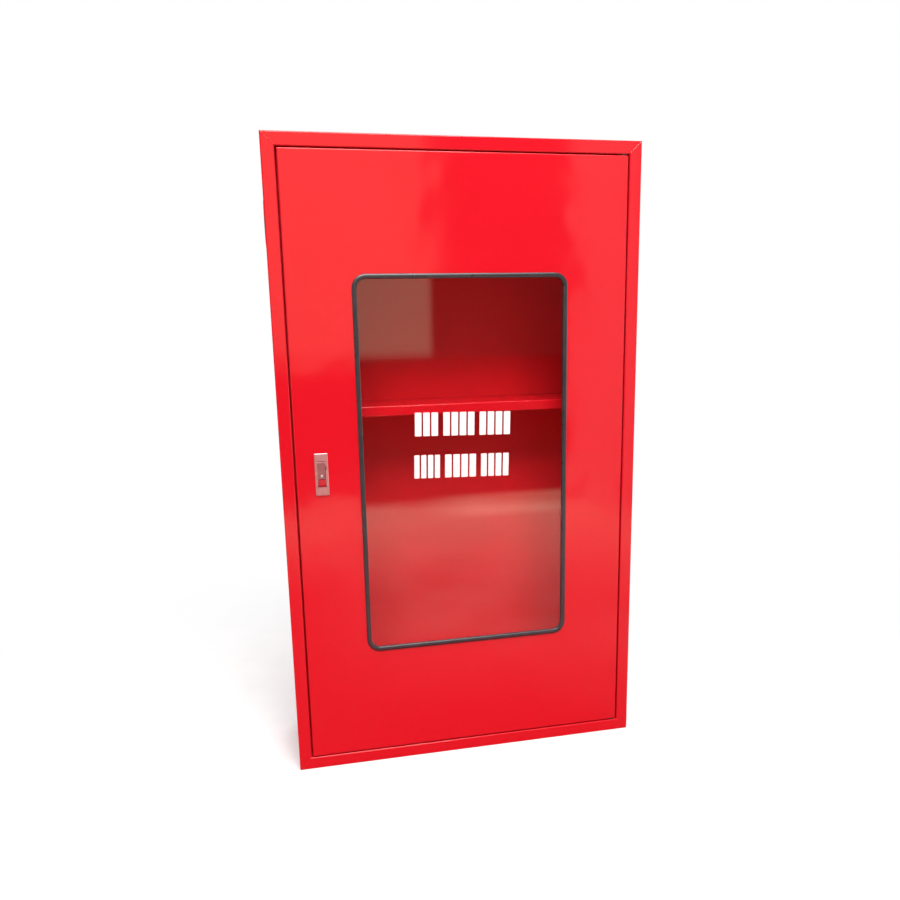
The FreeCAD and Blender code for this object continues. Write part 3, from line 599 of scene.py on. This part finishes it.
def build_floor():
    """A plain pale floor that fades into the white background a little way from the object.

    Light that it bounces or that is mirrored from it is painted: a red painted shade close to the object and
    to its left, then earth in darker patches, then painted sunlit ground, then painted dark surroundings.
    """
    look = Look("pale_floor")
    grain = look.noise(14.0, 5.0)
    pale = look.mixed(look.ranged(grain, 0.0, 1.0), FLOOR_PALE, FLOOR_PALE_DEEP)
    away = look.add("ShaderNodeVectorMath", operation="LENGTH")
    look.link(look.place, away.inputs[0])
    distance = away.outputs["Value"]
    seen = seen_directly(look.tree)
    split = look.add("ShaderNodeSeparateXYZ")
    look.link(look.place, split.inputs[0])
    # Painted shadow: the floor close to the object and to the left of it takes the red painted shade.
    outside_painted_shade = look.math("MULTIPLY", look.ranged(distance, 0.0, 1.0, 0.30, 0.75),
                           look.ranged(split.outputs["X"], 0.15, 1.0, -0.28, 0.0))
    patches = look.ranged(look.noise(3.2, 4.0, 0.6), 0.0, 1.0, 0.35, 0.65)
    patchy_near = look.mixed(patches, FLOOR_NEAR, tuple(PATCH_SHADE * c for c in FLOOR_NEAR))
    near = look.mixed(outside_painted_shade, FLOOR_PAINTED_SHADE, patchy_near)
    lit = look.mixed(look.ranged(distance, 0.0, 1.0, 1.2, 2.1), near, FLOOR_PAINTED_SUNLIT)
    bounce = look.mixed(look.ranged(distance, 0.0, 1.0, 2.25, 2.5), lit, FLOOR_PAINTED_DARK_FAR)
    look.colour(look.mixed(seen, bounce, pale))
    look.roughness(look.ranged(grain, 0.65, 0.85))
    look.bump(look.noise(60.0, 4.0), 0.3 * MM, 0.3)
    look.set(Specular_IOR_Level=0.0)
    white = look.add("ShaderNodeEmission")
    white.inputs["Color"].default_value = (1.0, 1.0, 1.0, 1.0)
    far = look.math("MULTIPLY", look.ranged(distance, 0.0, 1.0, 0.40, 1.35), seen)
    look.end_with(far, look.shader.outputs[0], white.outputs[0])
    corners = [(x * FLOOR_REACH, y * FLOOR_REACH, 0) for x, y in ((-1, -1), (1, -1), (1, 1), (-1, 1))]
    mesh = bpy.data.meshes.new("floor")
    mesh.from_pydata(corners, [], [(0, 1, 2, 3)])
    mesh.materials.append(look.material)
    floor = bpy.data.objects.new("floor", mesh)
    bpy.context.scene.collection.objects.link(floor)


def rim_fade(tree, edge):
    """One over the middle of a lamp, falling smoothly to zero over its rim."""
    place = tree.nodes.new("ShaderNodeNewGeometry")
    split = tree.nodes.new("ShaderNodeSeparateXYZ")
    tree.links.new(place.outputs["Parametric"], split.inputs[0])
    fades = []
    for axis in "XY":
        distance = math_node(tree, "ABSOLUTE", math_node(tree, "SUBTRACT", split.outputs[axis], 0.5))
        fade = tree.nodes.new("ShaderNodeMapRange")
        fade.interpolation_type = "SMOOTHSTEP"
        for key, number in (("From Min", 0.5), ("From Max", 0.5 - edge), ("To Min", 0.0), ("To Max", 1.0)):
            fade.inputs[key].default_value = number
        tree.links.new(distance, fade.inputs["Value"])
        fades.append(fade.outputs["Result"])
    return math_node(tree, "MULTIPLY", *fades)


def softbox(name, place, aim, size, glow, colour=(1.0, 1.0, 1.0), edge=0.10, lit=True, mirrored=True,
            spread=180):
    """A rectangular lamp that dims over its rim. Its glow is 1 where it is as bright as the background.

    A lamp that isn't lit only shows in gloss and glass, and one that isn't mirrored never does.
    """
    data = bpy.data.lights.new(name, "AREA")
    data.shape = "RECTANGLE"
    data.size, data.size_y = size
    data.energy = glow * math.pi * size[0] * size[1]
    data.color = colour
    data.spread = math.radians(spread)
    data.use_nodes = True
    tree = data.node_tree
    tree.links.new(rim_fade(tree, edge), tree.nodes["Emission"].inputs["Strength"])
    light = bpy.data.objects.new(name, data)
    light.location = place
    light.rotation_euler = (Vector(aim) - Vector(place)).to_track_quat("-Z", "Y").to_euler()
    light.visible_camera = False
    light.visible_diffuse = lit
    light.visible_glossy = mirrored
    bpy.context.scene.collection.objects.link(light)


ROOM_HORIZON = 0.05
ROOM_OVERHEAD = 0.60
ROOM_BANDS = ((0.18, 0.06), (0.42, 0.26))


def build_world():
    """White to the camera, and a plain soft grey room to everything else."""
    world = bpy.data.worlds.new("studio")
    bpy.context.scene.world = world
    world.use_nodes = True
    tree = world.node_tree
    tree.nodes.clear()
    output = tree.nodes.new("ShaderNodeOutputWorld")
    white = tree.nodes.new("ShaderNodeBackground")
    white.inputs["Color"].default_value = (1.0, 1.0, 1.0, 1.0)
    room = tree.nodes.new("ShaderNodeBackground")
    place = tree.nodes.new("ShaderNodeTexCoord")
    split = tree.nodes.new("ShaderNodeSeparateXYZ")
    ramp = tree.nodes.new("ShaderNodeValToRGB")
    stops = ramp.color_ramp.elements
    for stop, position, grey in zip(stops, (0.0, 1.0), (ROOM_HORIZON, ROOM_OVERHEAD)):
        stop.position = position
        stop.color = (grey, grey, grey, 1)
    for position, grey in ROOM_BANDS:
        stops.new(position).color = (grey, grey, grey, 1)
    mix = tree.nodes.new("ShaderNodeMixShader")
    tree.links.new(place.outputs["Generated"], split.inputs[0])
    tree.links.new(split.outputs["Z"], ramp.inputs[0])
    tree.links.new(ramp.outputs[0], room.inputs["Color"])
    tree.links.new(seen_directly(tree), mix.inputs[0])
    tree.links.new(room.outputs[0], mix.inputs[1])
    tree.links.new(white.outputs[0], mix.inputs[2])
    tree.links.new(mix.outputs[0], output.inputs["Surface"])


WARM = (1.0, 0.84, 0.60)
PALE_WARM = (1.0, 0.93, 0.85)


def build_lights():
    """Each lamp has its place, the point that it faces, its width and height, and its glow."""
    softbox("key", (-0.30, -2.1, 3.3), (0, -0.1, 0.6), (2.4, 1.8), 11.2)
    softbox("overhead", (0.0, -0.9, 3.4), (0, -0.9, 0), (3.0, 1.6), 4.5)
    softbox("low_fill", (-2.4, -1.9, 0.7), (0, -0.1, 0.5), (1.2, 1.6), 1.4)
    softbox("right_fill", (2.4, -1.9, 0.7), (0, -0.1, 0.5), (1.0, 1.4), 0.6)
    softbox("side_card", (2.6, -0.5, 0.9), (0, -0.5, 0.6), (1.8, 1.8), 2.4)
    softbox("low_wash", (0.35, -1.3, 2.2), (0.1, -0.1, 0.25), (1.2, 0.6), 0.30, mirrored=False, spread=45)
    softbox("rear", (1.2, 3.0, 2.2), (0, 0, 0.6), (2.0, 1.6), 4.0)
    softbox("left_card", (-0.09, -2.1, 1.33), (-0.09, 0, 1.33), (0.84, 1.25), 1.05, WARM, 0.06, lit=False)
    softbox("right_strip", (1.14, -2.1, 0.90), (1.14, 0, 0.90), (0.40, 1.90), 0.85, PALE_WARM, lit=False)
    softbox("ground_card", (0.80, -2.15, 0.03), (0.80, -2.15, 1.0), (1.2, 0.6), 1.1, WARM, 0.30, lit=False)


build_camera()
build_floor()
build_world()
build_lights()
bpy.context.scene.view_settings.view_transform = "Standard"
